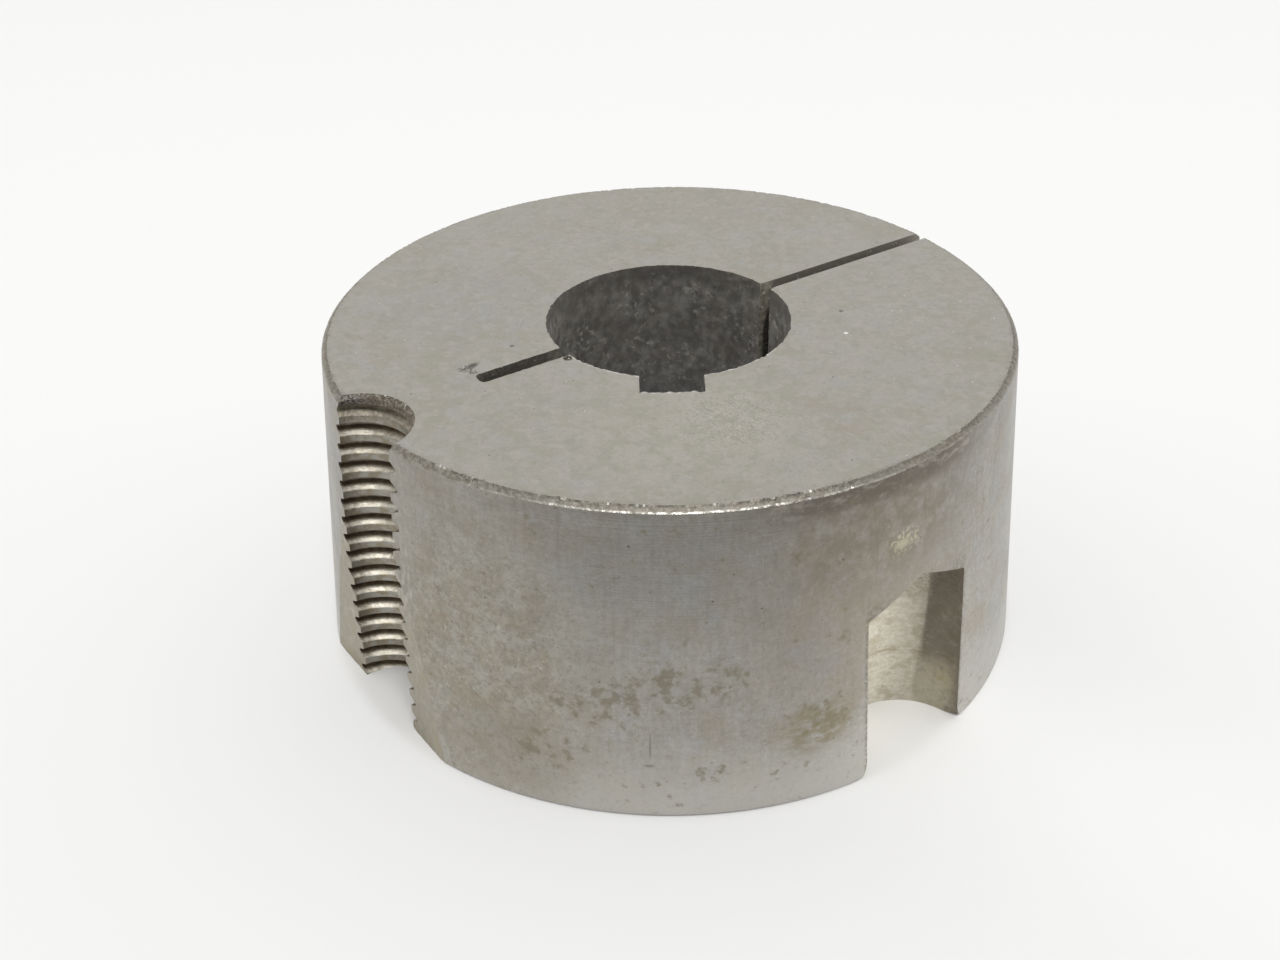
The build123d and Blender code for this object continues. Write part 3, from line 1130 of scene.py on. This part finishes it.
# Painted light: lower on the right, coloured paler where light from the floor falls
painted_floor_bounce = times(ramp(to_right, 17.8, 19.0), ramp(to_right, 21.6, 20.6), ramp(height, 6.0, 2.8))
rusty = patchy(near(Vector((20.3, -17.4, 3.4)), 1.6), 0.5, 0.4, 0.6, detail=5, shift=77)
colour = glaze(
    blend(patches(0.3, 0.34, 0.66, detail=6, shift=28), (0.335, 0.31, 0.25), (0.4, 0.378, 0.32)),
    (ramp(drill_rings, 0.45, 0.7), 0.3, (0.26, 0.235, 0.175)),
    (patches(1.2, 0.48, 0.64, detail=7, stretch=(1.2, 1.2, 0.8), shift=1), 0.55, (0.225, 0.198, 0.132)),
    (band, 0.7, (0.19, 0.16, 0.1)),
    (pits, 0.75, dark_pore),
    (patchy(painted_shade_and_dark_edge, 0.8, 0.2, 0.5, detail=5, shift=58), 0.68, (0.155, 0.13, 0.098)),
    (patchy(ramp(height, 9, 12.5), 0.22, 0.52, 0.6, detail=4, shift=59), 0.6, (0.15, 0.13, 0.1)),
    (patchy(painted_floor_bounce, 0.7, 0.74, 0.46, detail=6, shift=76), 0.45, (0.6, 0.55, 0.42)),
    (rusty, 0.5, (0.42, 0.35, 0.18)),
)
shade(colour, 0.6, [(cloud(0.25, detail=5, stretch=(1.5, 1.5, 0.8)), 0.02)])

# %% Cut thread: crests, flanks and roots
tree, shader = iron("cut_thread")
height = along("Z")
from_axis = distance_from(jack_axis)
speckle = cloud(0.3, detail=5, shift=21)
crest = blend(patches(0.9, 0.42, 0.6, detail=4), (0.35, 0.335, 0.295), (0.27, 0.236, 0.178))
# Painted highlight: the flanks, which catch the high panel, are coloured paler than the crests
highlit_flank = blend(ramp(speckle, 0.4, 0.7), (0.54, 0.51, 0.445), (0.38, 0.342, 0.268))
# Painted shade and old oil: the roots are coloured darker
root = blend(patches(0.6, 0.4, 0.6, shift=62), (0.22, 0.186, 0.15), (0.3, 0.258, 0.205))
on_flank = ramp(from_axis, tap_drill_radius + 0.04, tap_drill_radius + 0.08)
in_root = ramp(from_axis, tap_drill_radius + 0.44, tap_drill_radius + 0.56)
colour = blend(in_root, blend(on_flank, crest, highlit_flank), root)

# %% Cut thread: its mouth
at_mouth = ramp(height, length - 2.6, length - 1.0)
golden = blend(patches(0.35, 0.35, 0.65, detail=5, shift=9), (0.35, 0.31, 0.235), (0.2, 0.17, 0.125))
purple = blend(patches(0.2, 0.4, 0.62, detail=4, shift=52), (0.27, 0.245, 0.225), (0.1, 0.088, 0.08))
brown = blend(patches(0.25, 0.4, 0.62, detail=5, shift=53), (0.31, 0.285, 0.235), (0.14, 0.12, 0.09))
wall = blend(ramp(along("X"), jack_axis.x - 1.0, jack_axis.x + 1.5), purple, brown)
colour = glaze(colour, (at_mouth, 0.8, golden))
colour = blend(ramp(height, length - 1.1, length - 0.5), colour, wall)
# Painted glints: bright specks along the top edge of the mouth
painted_glints = ramp(ramp(height, length - 0.14, length - 0.05), 0, 1, 0.15, 1)
colour = blend(times(dots(0.22, 0.15, 0.4), painted_glints), colour, bright_fleck_and_glint)
rough = ramp(at_mouth, 0, 1, 0.42, 0.6)
mouth_lumps = times(cloud(0.4, detail=4, shift=54), at_mouth)
shade(colour, rough, [(speckle, 0.015), (mouth_lumps, 0.13), (cloud(0.15), 0.008)])

# %% Milled flat
tree, shader = iron("milled_flat")
mill_lines = cloud(0.15, detail=2, stretch=(1, 1, 12))
colour = glaze(
    mottled((0.43, 0.408, 0.36), (0.43, 0.385, 0.3), (0.41, 0.4, 0.375), 2.5, seed=15),
    (ramp(mill_lines, 0.4, 0.7), 0.25, (0.56, 0.54, 0.5)),
    (patches(**tool_streaks), 0.45, (0.6, 0.585, 0.54)),
    (patchy(ramp(along("Z"), 21, 8), 1.5, 0.2, 0.45, shift=72), 0.5, (0.244, 0.204, 0.114)),
    (patches(0.6, 0.5, 0.7, detail=6, shift=70), 0.45, (0.24, 0.22, 0.185)),
)
shade(colour, 0.42, [(mill_lines, 0.01), (cloud(0.2, detail=4), 0.01)])
print("finished:", ", ".join(name for name in finish if finish[name].node_tree.nodes.get("Noise Texture")))
